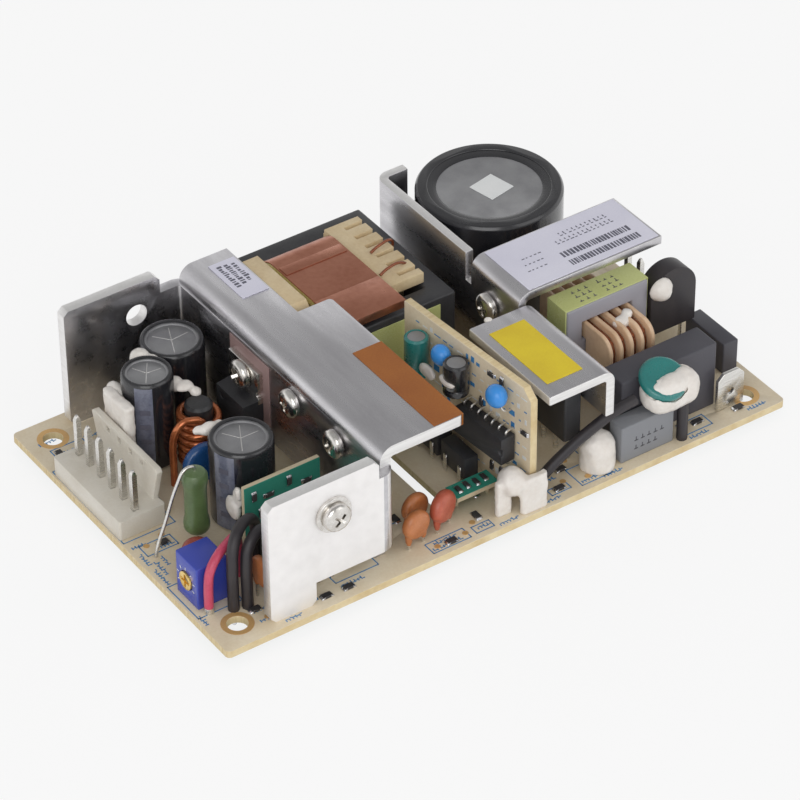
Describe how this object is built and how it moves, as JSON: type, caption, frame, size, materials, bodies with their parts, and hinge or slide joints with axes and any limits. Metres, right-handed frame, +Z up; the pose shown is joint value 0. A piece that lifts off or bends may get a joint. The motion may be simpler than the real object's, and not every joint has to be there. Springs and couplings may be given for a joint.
{
  "type": "open frame power supply",
  "caption": "Open frame mains power supply on a rectangular circuit board with bent sheet heatsinks, transformer, capacitors, header pins and a small adjustable trimmer.",
  "frame": {"origin": "centre of the rectangle of mounting holes, at the underside of the circuit board", "axes": "+X along the board from the output header towards the mains end, +Y across the board towards the bulk capacitor, +Z up through the mounting holes, away from the solder side"},
  "size_m": [0.127, 0.0774, 0.0306],
  "materials": {
    "black_sleeve": "black sleeve",
    "blue_dip": "blue dip coat",
    "blue_housing": "blue housing",
    "board": "tan laminate",
    "bobbin": "tan moulding",
    "brass_rotor": "brass",
    "can_top": "satin can",
    "coil": "taped winding",
    "copper": "bare copper",
    "enamel": "enamelled wire",
    "ferrite": "dark grey ferrite",
    "green_board": "green laminate",
    "green_body": "olive green coat",
    "grey_box": "dark grey box",
    "grey_ferrite": "grey ferrite",
    "label": "white label",
    "light_box": "grey box",
    "moulding": "black moulding",
    "nylon": "natural nylon",
    "orange_disc": "orange coat",
    "patch": "plain yellow patch",
    "pink_sleeve": "red sleeve",
    "polyimide": "amber film tape",
    "red_brown": "red brown coat",
    "rib": "peach moulding",
    "rod": "black rod",
    "sheet": "satin sheet",
    "silicone": "white silicone",
    "sleeve": "black shrink sleeve",
    "small_cans": "dark sleeves",
    "solder": "bright solder",
    "steel": "bright plated",
    "teal": "teal dip coat",
    "upright_board": "tan laminate",
    "yellow_tape": "pale yellow tape"
  },
  "bodies": {
    "board": {"circuit_board": "board", "solder_joints": "solder", "output_heatsink": "sheet", "ear_screw": "steel", "ear_washer": "steel", "sink_screws": "steel", "screw_nuts": "steel", "output_rectifiers": "moulding", "flange_tape": "polyimide", "small_label": "label", "transformer_core": "ferrite", "transformer_bobbin": "bobbin", "transformer_coil": "coil", "copper_band": "copper", "transformer_tape": "yellow_tape", "primary_heatsink": "sheet", "identification_label": "label", "switching_transistor": "moulding", "bulk_capacitor_can": "can_top", "bulk_capacitor_sleeve": "sleeve", "choke_core": "grey_ferrite", "choke_bobbin": "rib", "choke_windings": "enamel", "choke_tape": "yellow_tape", "middle_bracket": "sheet", "bracket_patch": "patch", "bridge_rectifier": "moulding", "x_capacitor": "grey_box", "film_capacitor": "light_box", "fuse_block": "grey_box", "thermistor": "black_sleeve", "safety_capacitor": "teal", "ground_tab": "steel", "sleeved_lead": "black_sleeve", "adhesive_beads": "silicone", "ac_header_base": "nylon", "ac_header_pins": "steel", "control_board": "upright_board", "control_chip": "moulding", "control_electrolytics": "small_cans", "control_ceramics": "blue_dip", "auxiliary_board": "green_board", "optocouplers": "moulding", "output_header_base": "nylon", "output_header_pins": "steel", "output_capacitor_cans": "can_top", "output_capacitor_sleeves": "sleeve", "output_choke_core": "rod", "output_choke_winding": "copper", "axial_resistor": "green_body", "filter_disc": "blue_dip", "red_ceramic": "red_brown", "trimmer_housing": "blue_housing", "red_lead": "pink_sleeve", "black_leads": "black_sleeve", "sense_board": "green_board", "ceramic_discs": "orange_disc"},
    "rotor": {"trimmer_rotor": "brass_rotor"}
  },
  "joints": [
    {"name": "trimmer_turn", "type": "hinge", "parent": "board", "child": "rotor", "pos_m": [-0.0617, -0.02158, 0.00611], "axis": [1, 0, 0], "range_deg": [-115, 115]}
  ]
}
